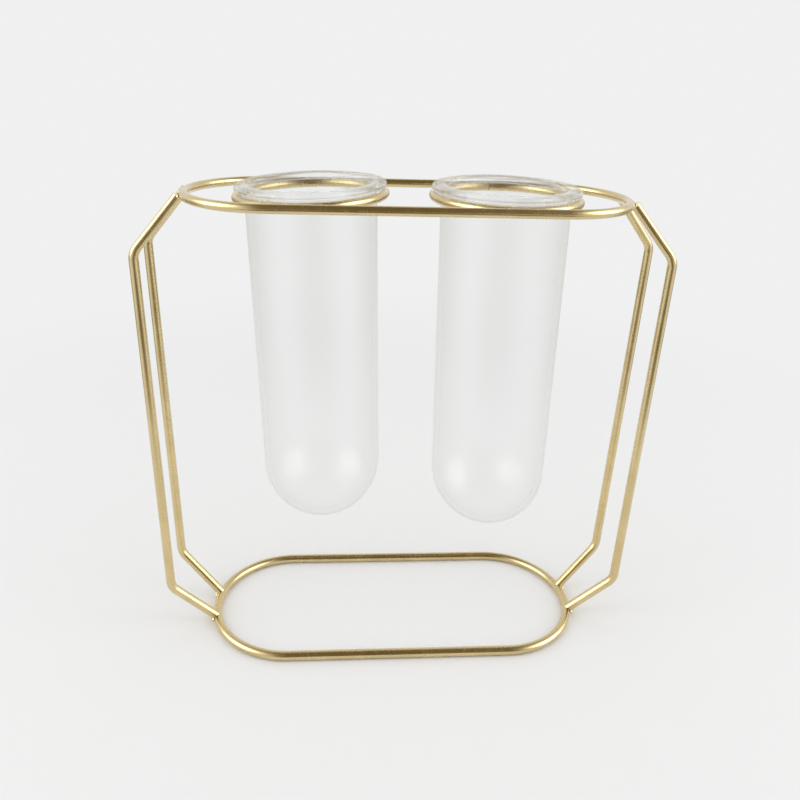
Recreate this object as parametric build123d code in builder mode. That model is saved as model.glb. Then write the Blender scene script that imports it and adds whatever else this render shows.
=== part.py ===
"""Test tube vase: two clear glass tubes that hang by their rolled lips in a stand of bent wire.

The stand is a long loop of wire at the top, a shorter one that lies on the table, four bent legs
between them and two rings set between the rails of the top loop.
+X runs to the right along the loops, +Y to the back and +Z up. The origin is at the middle of
the base, on the surface that the stand rests on. All lengths are in millimetres.
"""
from build123d import *
import os
from math import cos, degrees, radians, sin, sqrt

# Wire and loops. Loop lengths and widths are between wire centres.
wire_diameter = 4.0
stand_height = 204.5
loop_width = 70.0
top_loop_length = 188.0
base_loop_length = 169.0

# Legs. Each stands in a plane through the centre of a loop's round end, turned by this angle.
leg_angle = 13.75
knee_reach = 55.6
upper_knee_drop = 23.3
lower_knee_rise = 20.3
knee_radius = 8.0
head_stand_off = 2.3
head_drop = 0.25
foot_stand_off = 0.6
foot_rise = 0.6

# Rings, and the sideways lean of each ring and its tube, in degrees
ring_spacing = 83.2
ring_seam_gap = 0.25
left_lean_angle = 2.8
right_lean_angle = 0.0
left_seam_angle = 82.5
right_seam_angle = 93.0

# Glass tubes. A drop is from the middle of the ring's wire to the tip of the round bottom.
left_tube_drop = 148.0
right_tube_drop = 153.0
glass_wall = 2.2
tube_taper = 1.8
neck_length = 16.0
ring_clearance = 1.25
lip_overhang = 3.0
lip_thickness = 3.4
lip_fillet = 0.5
mouth_round = 1.5
seat_clearance = 0.25

# Weld beads
bead_radius = 1.2
bead_spread = 1.9
bead_angle = 10.0
groove_bead_radius = 0.8
groove_bead_drop = 1.4

# Worked out from the sizes above
wire_radius = wire_diameter / 2
base_z = wire_radius
top_z = stand_height - wire_radius
end_radius = loop_width / 2
top_arc_x = top_loop_length / 2 - end_radius
base_arc_x = base_loop_length / 2 - end_radius
ring_radius = end_radius - wire_diameter
ring_bore = ring_radius - wire_radius

sides = {"left": -1, "right": 1}
faces = {"front": -1, "back": 1}
lean_angles = {"left": left_lean_angle, "right": right_lean_angle}
seam_angles = {"left": left_seam_angle, "right": right_seam_angle}
tube_drops = {"left": left_tube_drop, "right": right_tube_drop}

os.makedirs("parts", exist_ok=True)


def on_end(side, face, arc_x, reach, height, swing=0):
    """A point at a reach from the centre of a loop's round end, in the plane of one leg."""
    angle = radians(leg_angle + swing)
    return side * (arc_x + reach * cos(angle)), face * reach * sin(angle), height


def ring_seat(name):
    """The plane of one ring, with its centre between the rails and its X to the right."""
    lean = radians(lean_angles[name])
    centre = (sides[name] * ring_spacing / 2, 0, top_z)
    return Plane(origin=centre, x_dir=(cos(lean), 0, sin(lean)), z_dir=(-sin(lean), 0, cos(lean)))


def loop_route(arc_x):
    """The centre line of a loop, on the current plane: two rails and two half-round ends."""
    Line((-arc_x, -end_radius), (arc_x, -end_radius))
    CenterArc((arc_x, 0), end_radius, -90, 180)
    Line((arc_x, end_radius), (-arc_x, end_radius))
    CenterArc((-arc_x, 0), end_radius, 90, 180)


# Top loop
with BuildPart() as top_loop:
    with BuildLine(Plane.XY.offset(top_z)):
        loop_route(top_arc_x)
    with BuildSketch(Plane(origin=(0, -end_radius, top_z), z_dir=(1, 0, 0))):
        Circle(wire_radius)
    sweep()
top_loop.part.label = "top_loop"
export_step(top_loop.part, "parts/top_loop.step")

# Base loop, flat on the table
with BuildPart() as base_loop:
    with BuildLine(Plane.XY.offset(base_z)):
        loop_route(base_arc_x)
    with BuildSketch(Plane(origin=(0, -end_radius, base_z), z_dir=(1, 0, 0))):
        Circle(wire_radius)
    sweep()
base_loop.part.label = "base_loop"
export_step(base_loop.part, "parts/base_loop.step")

# Rings: each a wire bent round until its ends almost meet at the back
rings = {}
for name in sides:
    seat = ring_seat(name)
    gap_angle = degrees(ring_seam_gap / ring_radius)
    start = radians(seam_angles[name] + gap_angle / 2)
    outward = seat.x_dir * cos(start) + seat.y_dir * sin(start)
    section = Plane(origin=seat.origin, x_dir=outward, z_dir=outward.cross(seat.z_dir))
    with BuildPart() as ring:
        with BuildSketch(section):
            with Locations((ring_radius, 0)):
                Circle(wire_radius)
        revolve(axis=Axis(seat.origin, seat.z_dir), revolution_arc=360 - gap_angle)
    ring.part.label = f"{name}_ring"
    export_step(ring.part, f"parts/{name}_ring.step")
    rings[name] = ring.part

def weld_bead(place, radius, *wires):
    """A drop of weld metal at a place, with the wires that it joins cut out of it."""
    with BuildPart() as bead:
        with Locations(place):
            Sphere(radius, rotation=(90, 0, 0))
        for wire in wires:
            add(wire, mode=Mode.SUBTRACT)
    return bead.part


# Legs: cut square at the head, which stands beside the loop, and set on the base loop at the foot.
# A bead lies on each side of each leg end, on the outer side of the loop.
bead_reach = end_radius + wire_radius * cos(radians(bead_angle))
bead_height = wire_radius * sin(radians(bead_angle))
bead_swing = degrees(bead_spread / bead_reach)
leg_beads = []
for face_name, face in faces.items():
    for side_name, side in sides.items():
        foot = on_end(side, face, base_arc_x, end_radius + foot_stand_off, base_z + foot_rise)
        lower_knee = on_end(side, face, base_arc_x, knee_reach, base_z + lower_knee_rise)
        upper_knee = on_end(side, face, top_arc_x, knee_reach, top_z - upper_knee_drop)
        head = on_end(side, face, top_arc_x, end_radius + head_stand_off, top_z - head_drop)
        with BuildPart() as leg:
            with BuildLine() as route:
                FilletPolyline(foot, lower_knee, upper_knee, head, radius=knee_radius)
            with BuildSketch(Plane(origin=route.line @ 0, z_dir=route.line % 0)):
                Circle(wire_radius)
            sweep()
            add(top_loop.part, mode=Mode.SUBTRACT)
            add(base_loop.part, mode=Mode.SUBTRACT)
        leg.part.label = f"{face_name}_{side_name}_leg"
        export_step(leg.part, f"parts/{leg.part.label}.step")
        for swing in (-bead_swing, bead_swing):
            low = on_end(side, face, base_arc_x, bead_reach, base_z + bead_height, swing)
            high = on_end(side, face, top_arc_x, bead_reach, top_z - bead_height, swing)
            leg_beads.append(weld_bead(low, bead_radius, base_loop.part, leg.part))
            leg_beads.append(weld_bead(high, bead_radius, top_loop.part, leg.part))

with BuildPart() as leg_welds:
    add(leg_beads)
leg_welds.part.label = "leg_welds"
export_step(leg_welds.part, "parts/leg_welds.step")

# Beads in the groove under each ring, where it touches the front and back rails
ring_beads = []
for side_name, side in sides.items():
    for face in faces.values():
        groove = (side * ring_spacing / 2, face * (end_radius - wire_radius), top_z - groove_bead_drop)
        ring_beads.append(weld_bead(groove, groove_bead_radius, top_loop.part, rings[side_name]))

with BuildPart() as ring_welds:
    add(ring_beads)
ring_welds.part.label = "ring_welds"
export_step(ring_welds.part, "parts/ring_welds.step")

# Glass tube outline, outwards from the tube's axis and up from the middle of the ring's wire
lip_radius = ring_bore + lip_overhang
lip_round = lip_thickness / 2
lip_round_x = lip_radius - lip_round
seat_reach = wire_radius + lip_round + seat_clearance
lip_middle = sqrt(seat_reach**2 - (ring_radius - lip_round_x) ** 2)
lip_base = lip_middle - lip_round
lip_top = lip_middle + lip_round
neck_radius = ring_bore - ring_clearance
neck_end = lip_top - neck_length
bore_radius = neck_radius - glass_wall
dome_radius = neck_radius - tube_taper
inner_dome_radius = dome_radius - glass_wall

for name in sides:
    seat = ring_seat(name)
    dome_z = dome_radius - tube_drops[name]
    with BuildPart() as tube:
        with BuildSketch(Plane(origin=seat.origin, x_dir=seat.x_dir, z_dir=-seat.y_dir)):
            with BuildLine():
                CenterArc((0, dome_z), dome_radius, -90, 90)
                Polyline(
                    (dome_radius, dome_z), (neck_radius, neck_end), (neck_radius, lip_base - lip_fillet)
                )
                CenterArc((neck_radius + lip_fillet, lip_base - lip_fillet), lip_fillet, 90, 90)
                Line((neck_radius + lip_fillet, lip_base), (lip_round_x, lip_base))
                CenterArc((lip_round_x, lip_middle), lip_round, -90, 180)
                Line((lip_round_x, lip_top), (bore_radius + mouth_round, lip_top))
                CenterArc((bore_radius + mouth_round, lip_top - mouth_round), mouth_round, 90, 90)
                Polyline(
                    (bore_radius, lip_top - mouth_round), (bore_radius, neck_end),
                    (inner_dome_radius, dome_z),
                )
                CenterArc((0, dome_z), inner_dome_radius, -90, 90)
                Line((0, dome_z - inner_dome_radius), (0, -tube_drops[name]))
            make_face()
        revolve(axis=Axis(seat.origin, seat.z_dir))
    tube.part.label = f"{name}_tube"
    export_step(tube.part, f"parts/{name}_tube.step")
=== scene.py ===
"""Test tube vase: two glass tubes that hang by their rolled lips in a stand of bent, gilded wire.

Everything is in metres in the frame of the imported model: +X runs to the right along the loops,
+Y to the back and +Z up, with the origin on the table under the middle of the stand.
"""

from math import cos, pi, radians, sin, tan, tau

import bmesh
import bpy
from mathutils import Matrix, Vector


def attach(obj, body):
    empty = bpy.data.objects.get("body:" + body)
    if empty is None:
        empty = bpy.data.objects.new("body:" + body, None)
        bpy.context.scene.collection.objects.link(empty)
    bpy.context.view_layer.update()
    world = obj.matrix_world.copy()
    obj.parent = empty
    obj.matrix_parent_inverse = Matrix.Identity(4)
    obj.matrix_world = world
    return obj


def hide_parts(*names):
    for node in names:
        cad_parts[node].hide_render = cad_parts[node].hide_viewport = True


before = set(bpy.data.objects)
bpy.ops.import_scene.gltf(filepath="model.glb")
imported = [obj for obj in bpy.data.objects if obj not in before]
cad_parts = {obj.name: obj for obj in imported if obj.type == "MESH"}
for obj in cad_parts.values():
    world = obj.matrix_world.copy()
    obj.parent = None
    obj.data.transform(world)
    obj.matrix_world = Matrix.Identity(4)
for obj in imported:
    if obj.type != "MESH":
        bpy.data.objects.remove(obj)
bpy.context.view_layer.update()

mm = 0.001

# Wire, loops and legs, as in the part
wire_radius = 2 * mm
stand_height = 204.5 * mm
end_radius = 35 * mm
top_arc_x = 59 * mm
base_arc_x = 49.5 * mm
base_z = wire_radius
top_z = stand_height - wire_radius
leg_angle = radians(13.75)
knee_reach = 55.6 * mm
upper_knee_drop = 23.3 * mm
lower_knee_rise = 20.3 * mm
knee_radius = 8 * mm
head_reach = end_radius + 2.3 * mm
head_drop = 0.25 * mm
foot_reach = end_radius + 0.6 * mm
foot_rise = 0.6 * mm

# Rings and the seats that hold the tubes. The seam's gap is wider than in the part.
ring_radius = 31 * mm
ring_spacing = 83.2 * mm
ring_gap = 0.45 * mm
seam_angles = {"left": radians(82.5), "right": radians(93)}
lean_angles = {"left": radians(2.8), "right": 0.0}
sides = {"left": -1, "right": 1}
faces = {"front": -1, "back": 1}

# Weld beads at the leg ends, and in the grooves under the rings
bead_radius = 1.2 * mm
bead_angle = radians(10)
bead_reach = end_radius + wire_radius * cos(bead_angle)
bead_height = wire_radius * sin(bead_angle)
bead_swing = 1.9 * mm / bead_reach
groove_bead_radius = 0.8 * mm
groove_bead_drop = 1.4 * mm
bead_squash = 0.85
bead_unevenness = 0.12
bead_smoothing = 0.6

# Glass, outwards from a tube's axis and up from the middle of its ring's wire
tube_drops = {"left": 148 * mm, "right": 153 * mm}
lip_radius = 32 * mm
lip_round = 1.7 * mm
lip_base = 2.187 * mm
lip_top = 5.587 * mm
lip_fillet = 0.5 * mm
mouth_round = 1.5 * mm
neck_radius = 27.75 * mm
neck_end = -10.41 * mm
bore_radius = 25.55 * mm
dome_radius = 25.95 * mm
inner_dome_radius = 23.75 * mm
flat_margin = 0.1 * mm

# How finely the round shapes are divided, and where their shading stays sharp
wire_sides = 32
loop_end_steps = 64
knee_steps = 14
ring_steps = 144
tube_steps = 144
dome_steps = 40
lip_fillet_steps = 8
lip_steps = 24
mouth_steps = 10
bead_divisions = 4
merge_distance = 0.002 * mm
wire_smooth_angle = radians(40)
glass_smooth_angle = radians(60)

# Gilding: its colours, and the sizes of its clouds, its fine grain and its rubbed spots
gilt_shade = (0.66, 0.52, 0.258)
gilt_light = (0.73, 0.582, 0.303)
cloud_size = 14 * mm
fine_size = 0.35 * mm
rub_size = 3 * mm

# Glass: tints, roughness, and how much of each wall is sheen
lip_tint = (0.99, 0.995, 0.99)
wall_face = (0.995, 0.996, 0.995)
wall_edge = (0.932, 0.937, 0.925)
wall_sheen = (0.97, 0.97, 0.97)
lip_roughness = 0.11
outer_roughness = 0.26
inner_roughness = 0.3
outer_sheen = 0.03
outer_edge_sheen = 0.3
inner_sheen = 0.032
satin_size = 0.6 * mm
swirl_size = 9 * mm
swirl_stretch = (1, 1, 0.12)

# The lip's clear glass turns to a wall of thin film between its underside and the film's drop.
# Near its top, between the two shade drops, the outside of the wall gets a little painted shade.
lip_film_share = 0.55
film_drop = 4 * mm
shade_top_drop = 10 * mm
shade_end_drop = 90 * mm
shade_depth = 0.25

# The studio that metal and glass see. Glass sees a share of what metal mirrors. A fade is where
# one look turns to the next, along a direction's x or y, or its nearness to a lamp's.
backdrop = (0.87, 0.874, 0.872)
glass_share = 0.65
room_dark = (0.14, 0.099, 0.037)
room_side = (0.88, 0.88, 0.87)
room_back = (0.84, 0.84, 0.83)
room_middle = 0.06
room_side_fade = (0.15, 0.7)
room_back_fade = (0.1, 0.8)
room_light = 0.87
glow_fade = (0.84, 0.96)
glow_strength = 3.0

# The table. Its fades are distances from the middle of the stand, in metres. Metal and glass see
# painted shade on it in front of the stand and beside it.
table_radius = 6.0
table_white = (0.86, 0.86, 0.86)
# Painted shade that only metal and glass see on the table: dark in front of the stand, dim beside
# it
table_painted_shade = (0.15, 0.115, 0.06)
table_painted_dim_shade = (0.42, 0.4, 0.35)
table_end_fade = (0.2, 0.6)
front_shade_fade = (0.2, 0.34)
front_shade_width_fade = (0.15, 0.5)
beside_shade_fade = (0.25, 0.35)
beside_shade_back_fade = (-0.02, 0.1)

# Lamps, in degrees and metres. Metal mirrors their glow at another height than they light from.
lamp_azimuth = 74
lamp_elevation = 35
glow_elevation = 24
lamp_distance = 0.75
lamp_width, lamp_height = 0.35, 0.5
lamp_power = 0.83

# Light crosses the glass and the gilding this many times before it is dropped
light_bounces = 128
clear_bounces = 64

# Camera, at the height and angle that the picture was taken from
camera_place = Vector((-33.861, -331.265, 259.479)) * mm
camera_yaw, camera_pitch, camera_roll = 0.0818, -0.2584, 0.0343
picture_side = 800
focal_pixels = 791.63
centre_pixel = (391.38, 265.92)


# Shader maths

# Sockets of a Mix node that is set to colours, by number, because their names repeat
mix_factor, mix_low, mix_high, mix_result = 0, 6, 7, 2


class Value:
    """An output in a finish. Arithmetic on it adds Math nodes to that finish."""

    def __init__(self, finish, socket):
        self.finish, self.socket = finish, socket

    def maths(self, operation, *values):
        """A Math node with values in its sockets."""
        return self.finish.node("ShaderNodeMath", {"operation": operation}, dict(enumerate(values)))

    def __add__(self, other):
        return self.maths("ADD", self, other)

    def __sub__(self, other):
        return self.maths("SUBTRACT", self, other)

    def __rsub__(self, other):
        return self.maths("SUBTRACT", other, self)

    def __mul__(self, other):
        return self.maths("MULTIPLY", self, other)

    def __pow__(self, other):
        return self.maths("POWER", self, other)

    def __rpow__(self, other):
        return self.maths("POWER", other, self)

    def __abs__(self):
        return self.maths("ABSOLUTE", self)

    __radd__ = __add__
    __rmul__ = __mul__

    def step(self, low, high):
        """0 at low, 1 at high and smooth between them. Low may be the greater of the two."""
        return self.finish.node(
            "ShaderNodeMapRange", {"interpolation_type": "SMOOTHSTEP"},
            {"Value": self, "From Min": low, "From Max": high},
        )


class Finish:
    """A material or world whose nodes are being put together."""

    def __init__(self, name, blocks=None):
        self.block = (bpy.data.materials if blocks is None else blocks).new(name)
        self.block.use_nodes = True
        self.tree = self.block.node_tree
        self.tree.nodes.clear()

    def node(self, kind, settings=None, values=None, output=0):
        """Any node: its settings are made first, then its sockets get their values or links."""
        made = self.tree.nodes.new(kind)
        for key, setting in (settings or {}).items():
            setattr(made, key, setting)
        for key, value in (values or {}).items():
            if isinstance(value, Value):
                self.tree.links.new(value.socket, made.inputs[key])
            else:
                made.inputs[key].default_value = value
        return Value(self, made.outputs[output]) if len(made.outputs) else made

    def place(self, scale=(1, 1, 1)):
        """Object coordinates, stretched by a scale."""
        raw = self.node("ShaderNodeTexCoord", output="Object")
        return self.node("ShaderNodeMapping", None, {"Vector": raw, "Scale": scale})

    def parts(self, vector):
        """The x, y and z of a vector."""
        split = self.node("ShaderNodeSeparateXYZ", None, {"Vector": vector}).socket.node
        return [Value(self, output) for output in split.outputs]

    def grain(self, where, size, detail=2.0, roughness=0.5):
        """Soft noise between 0 and 1 whose features are about as large as size."""
        return self.node(
            "ShaderNodeTexNoise", None,
            {"Vector": where, "Scale": 1 / size, "Detail": detail, "Roughness": roughness},
        )

    def bump(self, height, strength, distance):
        """Normals that follow a height."""
        return self.node(
            "ShaderNodeBump", None, {"Height": height, "Strength": strength, "Distance": distance}
        )

    def colours(self, factor, low, high):
        """A colour between two colours."""
        low, high = (end if isinstance(end, Value) else (*end, 1) for end in (low, high))
        return self.node(
            "ShaderNodeMix", {"data_type": "RGBA"},
            {mix_factor: factor, mix_low: low, mix_high: high}, mix_result,
        )

    def clear(self, tint):
        """Light goes straight through, tinted."""
        return self.node("ShaderNodeBsdfTransparent", None, {"Color": (*tint, 1)})

    def shown(self, colour):
        """A colour that shows as it is, in any light."""
        return self.node("ShaderNodeEmission", None, {"Color": (*colour, 1), "Strength": 1.0})

    def blend(self, factor, first, second):
        """The first shader where the factor is 0, and the second where it is 1."""
        return self.node("ShaderNodeMixShader", None, {0: factor, 1: first, 2: second})

    def rays(self):
        """Whether the camera looks, and how far metal or glass does."""
        path = self.node("ShaderNodeLightPath").socket.node.outputs
        camera_looks, metal_looks, glass_looks = (
            Value(self, path[f"Is {kind} Ray"]) for kind in ("Camera", "Glossy", "Transmission")
        )
        return camera_looks, metal_looks + glass_looks * glass_share

    def done(self, surface):
        """Joins the surface to the output, and gives back the material or world."""
        is_world = isinstance(self.block, bpy.types.World)
        kind = "ShaderNodeOutputWorld" if is_world else "ShaderNodeOutputMaterial"
        self.node(kind, None, {"Surface": surface})
        return self.block


def gilding():
    """Satin gilt wire under clear lacquer, with a fine grain and a slightly uneven sheen."""
    f = Finish("satin_gilding")
    here = f.place()
    cloud = f.grain(here, cloud_size, detail=3)
    fine = f.grain(here, fine_size, detail=4, roughness=0.65)
    rub = f.grain(here, rub_size).step(0.45, 0.75)
    return f.done(f.node("ShaderNodeBsdfPrincipled", None, {
        "Base Color": f.colours(cloud.step(0.35, 0.65), gilt_shade, gilt_light),
        "Metallic": 1.0,
        "Roughness": 0.23 + fine * 0.05 + rub * 0.04,
        "Normal": f.bump(fine * 0.7 + cloud * 0.3, strength=0.1, distance=0.004 * mm),
        "Coat Weight": 0.8,
        "Coat Roughness": 0.2,
        "Coat IOR": 1.5,
    }))


def glass(name, outside):
    """Clear glass at the rolled lip, and thin walls below it that pass light straight through.

    The outside of the walls deepens and shines towards their edges, with painted shade near its
    top. The inside shines evenly.
    """
    f = Finish(name)
    here = f.place()
    height = f.parts(here)[2]
    below_lip = height.step(top_z + lip_base, top_z - film_drop)
    # Painted shade: the outside wall is darkened a little near the top of the tube
    painted_top_shade = height.step(top_z - shade_end_drop, top_z - shade_top_drop)
    satin = f.grain(here, satin_size, detail=3)
    swirl = f.grain(f.place(swirl_stretch), swirl_size)
    bump = f.bump(swirl, strength=0.2, distance=0.01 * mm)
    lip = f.node("ShaderNodeBsdfPrincipled", None, {
        "Base Color": (*lip_tint, 1),
        "Roughness": lip_roughness + satin * 0.04,
        "IOR": 1.47,
        "Transmission Weight": 1.0,
        "Normal": bump,
    })
    sheen = f.node("ShaderNodeBsdfPrincipled", None, {
        "Base Color": (*wall_sheen, 1),
        "Metallic": 1.0,
        "Roughness": (outer_roughness if outside else inner_roughness) + satin * 0.06,
        "Normal": bump,
    })
    if outside:
        facing = f.node("ShaderNodeLayerWeight", None, {"Blend": 0.5}, "Facing")
        # Deeper tint towards the edges, plus the painted shade near the top
        edge_depth_and_top_shade = facing.step(0.1, 1.0) + painted_top_shade * shade_depth
        wall = f.blend(edge_depth_and_top_shade, f.clear(wall_face), f.clear(wall_edge))
        film = f.blend(facing ** 4 * outer_edge_sheen + outer_sheen, wall, sheen)
    else:
        film = f.blend(inner_sheen, f.clear(wall_face), sheen)
    return f.done(f.blend(below_lip * (1 - lip_film_share) + lip_film_share, lip, film))


# Modelling by hand


def only(piece):
    """Makes a piece the one thing that is selected and active."""
    bpy.ops.object.select_all(action="DESELECT")
    piece.select_set(True)
    bpy.context.view_layer.objects.active = piece


def edit(piece):
    """Opens a piece in edit mode with everything selected."""
    only(piece)
    bpy.ops.object.mode_set(mode="EDIT")
    bpy.ops.mesh.select_all(action="SELECT")


def leave():
    """Closes edit mode."""
    bpy.ops.object.mode_set(mode="OBJECT")


def settle(piece):
    """Puts the place and turn of a piece in its mesh."""
    only(piece)
    bpy.ops.object.transform_apply(location=True, rotation=True, scale=True)


def start_wire(name, place, direction, ends=False):
    """The round section of a wire, ready in edit mode to be drawn along its run."""
    bpy.ops.object.select_all(action="DESELECT")
    bpy.ops.mesh.primitive_circle_add(
        vertices=wire_sides, radius=wire_radius, fill_type="NGON" if ends else "NOTHING",
        location=place, rotation=Vector(direction).to_track_quat("Z", "Y").to_euler(),
    )
    piece = bpy.context.object
    piece.name = piece.data.name = name
    edit(piece)
    return piece


def run(along):
    """Draws the selected section, or outline point, straight on."""
    bpy.ops.mesh.extrude_region_move(TRANSFORM_OT_translate={"value": tuple(along)})


def turn(centre, axis, angle, steps):
    """Draws the selected section, or outline point, round a centre. Spin itself turns clockwise."""
    bpy.ops.mesh.spin(steps=steps, angle=-angle, center=tuple(centre), axis=tuple(axis))


def close_up(piece, smooth_angle=wire_smooth_angle):
    """Merges what meets, points the faces outwards, settles the piece and smooths its shading."""
    bpy.ops.mesh.select_all(action="SELECT")
    bpy.ops.mesh.remove_doubles(threshold=merge_distance)
    bpy.ops.mesh.normals_make_consistent(inside=False)
    leave()
    settle(piece)
    bpy.ops.object.shade_smooth_by_angle(angle=smooth_angle)


def finish_piece(piece, body, node, material):
    """Gives a piece its finish, the body that it moves with and the CAD node that it replaces."""
    piece.data.materials.clear()
    piece.data.materials.append(material)
    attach(piece, body)
    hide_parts(node)


gilt = gilding()


def finish_gilt(piece, node):
    """Finishes a piece of the stand."""
    finish_piece(piece, "stand", node, gilt)


# Camera

forward = Vector((
    sin(camera_yaw) * cos(camera_pitch), cos(camera_yaw) * cos(camera_pitch), sin(camera_pitch)
))
level = Vector((cos(camera_yaw), -sin(camera_yaw), 0))
raised = level.cross(forward)
across = level * cos(camera_roll) + raised * sin(camera_roll)
upward = raised * cos(camera_roll) - level * sin(camera_roll)

camera_data = bpy.data.cameras.new("camera")
camera_data.sensor_width = 36
camera_data.lens = focal_pixels / picture_side * camera_data.sensor_width
camera_data.shift_x = (picture_side / 2 - centre_pixel[0]) / picture_side
camera_data.shift_y = (centre_pixel[1] - picture_side / 2) / picture_side
camera_data.clip_start, camera_data.clip_end = 0.01, 50
camera = bpy.data.objects.new("camera", camera_data)
camera_turn = Matrix((across, upward, -forward)).transposed().to_4x4()
camera.matrix_world = Matrix.Translation(camera_place) @ camera_turn
bpy.context.scene.collection.objects.link(camera)
bpy.context.scene.camera = camera


# Loops


def loop(name, arc_x, height):
    """Two rails joined by half-round ends, of one closed wire."""
    piece = start_wire(name, (-arc_x, -end_radius, height), (1, 0, 0))
    run((2 * arc_x, 0, 0))
    turn((arc_x, 0, height), (0, 0, 1), pi, loop_end_steps)
    run((-2 * arc_x, 0, 0))
    turn((-arc_x, 0, height), (0, 0, 1), pi, loop_end_steps)
    close_up(piece)
    return piece


finish_gilt(loop("top_loop_wire", top_arc_x, top_z), "top_loop")
finish_gilt(loop("base_loop_wire", base_arc_x, base_z), "base_loop")


# Legs


def on_end(side, face, arc_x, reach, height, swing=0.0):
    """A point at a reach from the centre of a loop's round end, in the plane of one leg."""
    angle = leg_angle + swing
    return Vector((side * (arc_x + reach * cos(angle)), face * reach * sin(angle), height))


def leg(name, side, face):
    """A wire cut square at both ends, with two knees."""
    foot = on_end(side, face, base_arc_x, foot_reach, base_z + foot_rise)
    lower_knee = on_end(side, face, base_arc_x, knee_reach, base_z + lower_knee_rise)
    upper_knee = on_end(side, face, top_arc_x, knee_reach, top_z - upper_knee_drop)
    head = on_end(side, face, top_arc_x, head_reach, top_z - head_drop)
    corners = [foot, lower_knee, upper_knee, head]
    here = foot
    piece = start_wire(name, foot, lower_knee - foot, ends=True)
    for before, knee, after in zip(corners, corners[1:], corners[2:]):
        come, go = (knee - before).normalized(), (after - knee).normalized()
        bend = come.angle(go)
        setback = knee_radius * tan(bend / 2)
        bend_start = knee - come * setback
        axis = come.cross(go).normalized()
        run(bend_start - here)
        turn(bend_start + axis.cross(come) * knee_radius, axis, bend, knee_steps)
        here = knee + go * setback
    run(head - here)
    close_up(piece)
    return piece


for face_name, face in faces.items():
    for side_name, side in sides.items():
        node = f"{face_name}_{side_name}_leg"
        finish_gilt(leg(node + "_wire", side, face), node)


# Rings


def seat(piece, name):
    """Moves a piece from the origin to a ring's middle, with the ring's lean."""
    piece.location = (sides[name] * ring_spacing / 2, 0, top_z)
    piece.rotation_euler = (0, -lean_angles[name], 0)
    settle(piece)


def ring(name):
    """A wire bent round until its ends, cut square, almost meet at the back."""
    gap = ring_gap / ring_radius
    start = seam_angles[name] + gap / 2
    outward = Vector((cos(start), sin(start), 0))
    direction = Vector((0, 0, 1)).cross(outward)
    piece = start_wire(name + "_ring_wire", outward * ring_radius, direction, ends=True)
    turn((0, 0, 0), (0, 0, 1), tau - gap, ring_steps)
    close_up(piece)
    seat(piece, name)
    return piece


for name in sides:
    finish_gilt(ring(name), name + "_ring")


# Tubes


def tube(name):
    """A round-bottomed tube with a rolled lip, spun from its outline."""
    bpy.ops.object.select_all(action="DESELECT")
    bpy.ops.mesh.primitive_plane_add(size=mm, location=(0, 0, 0))
    piece = bpy.context.object
    piece.name = piece.data.name = name + "_glass_tube"
    edit(piece)
    bpy.ops.mesh.merge(type="CENTER")
    bpy.ops.transform.translate(value=(0, 0, -tube_drops[name]))
    dome_z = dome_radius - tube_drops[name]
    lip_middle = (lip_base + lip_top) / 2
    across_outline = (0, -1, 0)
    turn((0, 0, dome_z), across_outline, pi / 2, dome_steps)
    run((neck_radius - dome_radius, 0, neck_end - dome_z))
    run((0, 0, lip_base - lip_fillet - neck_end))
    fillet_centre = (neck_radius + lip_fillet, 0, lip_base - lip_fillet)
    turn(fillet_centre, across_outline, -pi / 2, lip_fillet_steps)
    run((lip_radius - lip_round - neck_radius - lip_fillet, 0, 0))
    turn((lip_radius - lip_round, 0, lip_middle), across_outline, pi, lip_steps)
    run((bore_radius + mouth_round - lip_radius + lip_round, 0, 0))
    mouth_centre = (bore_radius + mouth_round, 0, lip_top - mouth_round)
    turn(mouth_centre, across_outline, pi / 2, mouth_steps)
    run((0, 0, neck_end - lip_top + mouth_round))
    run((inner_dome_radius - bore_radius, 0, dome_z - neck_end))
    turn((0, 0, dome_z), across_outline, -pi / 2, dome_steps)
    bpy.ops.mesh.select_all(action="SELECT")
    turn((0, 0, 0), (0, 0, 1), tau, tube_steps)
    close_up(piece, glass_smooth_angle)
    return piece


def finish_inside(piece, name, material):
    """Gives the faces that look at a tube's axis, or at the middle of its dome, another finish.

    The tube still stands upright at the origin. The flat faces of its lip count as outside.
    """
    dome_z = dome_radius - tube_drops[name]
    piece.data.materials.append(material)
    edit(piece)
    bpy.ops.mesh.select_all(action="DESELECT")
    mesh = bmesh.from_edit_mesh(piece.data)
    for face in mesh.faces:
        middle = face.calc_center_median()
        outward = Vector((middle.x, middle.y, min(middle.z - dome_z, 0)))
        if face.normal.dot(outward) < -flat_margin:
            face.select_set(True)
    mesh.select_flush_mode()
    bmesh.update_edit_mesh(piece.data)
    piece.active_material_index = 1
    bpy.ops.object.material_slot_assign()
    leave()


outer_glass, inner_glass = glass("satin_glass", True), glass("smooth_glass", False)
for name in sides:
    piece = tube(name)
    finish_piece(piece, name + "_tube", name + "_tube", outer_glass)
    finish_inside(piece, name, inner_glass)
    seat(piece, name)


# Weld metal


def welds(name, places, radius):
    """Drops of weld metal, one made by hand and copied to each place."""
    bpy.ops.object.select_all(action="DESELECT")
    bpy.ops.mesh.primitive_ico_sphere_add(
        subdivisions=bead_divisions, radius=radius, location=(0, 0, 0)
    )
    first = bpy.context.object
    edit(first)
    bpy.ops.transform.resize(value=(1, 1, bead_squash))
    bpy.ops.transform.vertex_random(offset=radius * bead_unevenness, seed=3)
    bpy.ops.mesh.vertices_smooth(factor=bead_smoothing, repeat=4)
    leave()
    drops = []
    for place in places:
        only(first)
        bpy.ops.object.duplicate(linked=False)
        drop = bpy.context.object
        drop.location = place
        drops.append(drop)
    bpy.data.objects.remove(first)
    bpy.ops.object.select_all(action="DESELECT")
    for drop in drops:
        drop.select_set(True)
    bpy.context.view_layer.objects.active = drops[0]
    bpy.ops.object.join()
    piece = bpy.context.object
    piece.name = piece.data.name = name
    settle(piece)
    bpy.ops.object.shade_smooth()
    return piece


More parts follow.
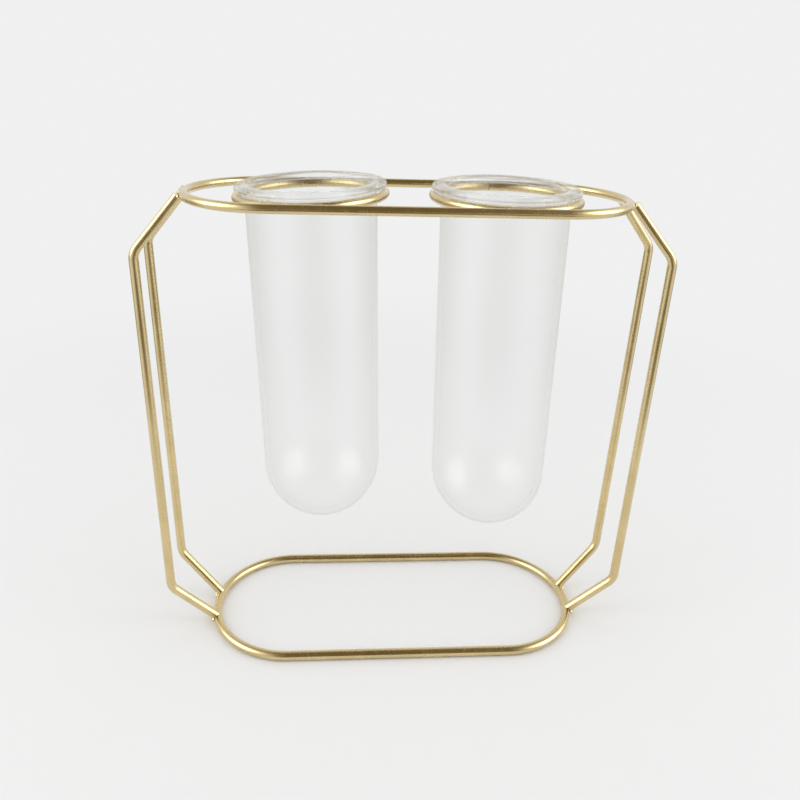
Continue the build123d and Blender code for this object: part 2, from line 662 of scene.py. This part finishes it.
leg_beads = [
    on_end(side, face, arc_x, bead_reach, height, swing)
    for side in sides.values()
    for face in faces.values()
    for arc_x, height in ((base_arc_x, base_z + bead_height), (top_arc_x, top_z - bead_height))
    for swing in (-bead_swing, bead_swing)
]
groove_beads = [
    (side * ring_spacing / 2, face * (end_radius - wire_radius), top_z - groove_bead_drop)
    for side in sides.values()
    for face in faces.values()
]
finish_gilt(welds("leg_weld_beads", leg_beads, bead_radius), "leg_welds")
finish_gilt(welds("ring_weld_beads", groove_beads, groove_bead_radius), "ring_welds")


# Table, backdrop and lights


def way(azimuth, elevation):
    """The direction out to an azimuth, from the front towards the right, and an elevation."""
    a, e = radians(azimuth), radians(elevation)
    return Vector((sin(a) * cos(e), -cos(a) * cos(e), sin(e)))


def studio():
    """A pale backdrop for the camera, and the soft studio that metal and glass see.

    The room is dark behind and above the camera, and pale at the sides, at the back and where the
    lamps glow.
    """
    f = Finish("studio", bpy.data.worlds)
    camera_looks, piece_looks = f.rays()
    towards = f.node("ShaderNodeTexCoord", output="Generated")
    x, y, _ = f.parts(towards)

    def glow(side):
        lamp_way = way(side * lamp_azimuth, glow_elevation)
        return f.node(
            "ShaderNodeVectorMath", {"operation": "DOT_PRODUCT"}, {0: towards, 1: lamp_way}, "Value"
        ).step(*glow_fade)

    def light(colour, strength):
        return f.node("ShaderNodeBackground", None, {"Color": colour, "Strength": strength})

    colour = f.colours(abs(x - room_middle).step(*room_side_fade), room_dark, room_side)
    colour = f.colours(y.step(*room_back_fade), colour, room_back)
    room = light(colour, 1.0 + (glow(1) + glow(-1)) * glow_strength)
    even = light((1, 1, 1, 1), room_light)
    plain = light((*backdrop, 1), 1.0)
    return f.done(f.blend(camera_looks, f.blend(piece_looks, even, room), plain))


def table_paint():
    """Matt white that fades into the backdrop. Metal and glass see painted shade on it: dark in
    front, dim beside.
    """
    f = Finish("white_table")
    here = f.place()
    _, piece_looks = f.rays()
    x, y, _ = f.parts(here)
    far = f.node("ShaderNodeVectorMath", {"operation": "LENGTH"}, {0: here}, "Value")
    matt = f.node("ShaderNodeBsdfDiffuse", None, {"Color": (*table_white, 1)})
    white = f.blend(far.step(*table_end_fade), matt, f.shown(backdrop))
    # Painted shade for metal and glass only: dark on the table in front of the stand, dim beside
    # it, shown as flat colour
    front_painted_shade = (0 - y).step(*front_shade_fade) * (1 - abs(x).step(*front_shade_width_fade))
    beside = abs(x).step(*beside_shade_fade) * y.step(*beside_shade_back_fade)
    surface = f.blend(piece_looks * beside, white, f.shown(table_painted_dim_shade))
    return f.done(f.blend(piece_looks * front_painted_shade, surface, f.shown(table_painted_shade)))


def lamp(name, azimuth):
    """A soft lamp that faces the middle of the stand."""
    outward = way(azimuth, lamp_elevation)
    data = bpy.data.lights.new(name, "AREA")
    data.shape, data.size, data.size_y = "RECTANGLE", lamp_width, lamp_height
    data.energy = lamp_power
    made = bpy.data.objects.new(name, data)
    made.location = Vector((0, 0, stand_height / 2)) + outward * lamp_distance
    made.rotation_euler = outward.to_track_quat("Z", "Y").to_euler()
    made.visible_glossy = made.visible_transmission = False
    bpy.context.scene.collection.objects.link(made)


bpy.context.scene.world = studio()

bpy.ops.object.select_all(action="DESELECT")
bpy.ops.mesh.primitive_circle_add(
    vertices=96, radius=table_radius, fill_type="NGON", location=(0, 0, 0)
)
table = bpy.context.object
table.name = "table"
table.data.materials.append(table_paint())

for name, side in sides.items():
    lamp(name + "_lamp", side * lamp_azimuth)

paths = bpy.context.scene.cycles
paths.max_bounces = paths.glossy_bounces = paths.transmission_bounces = light_bounces
paths.transparent_max_bounces = clear_bounces

bpy.context.scene.view_settings.view_transform = "Standard"
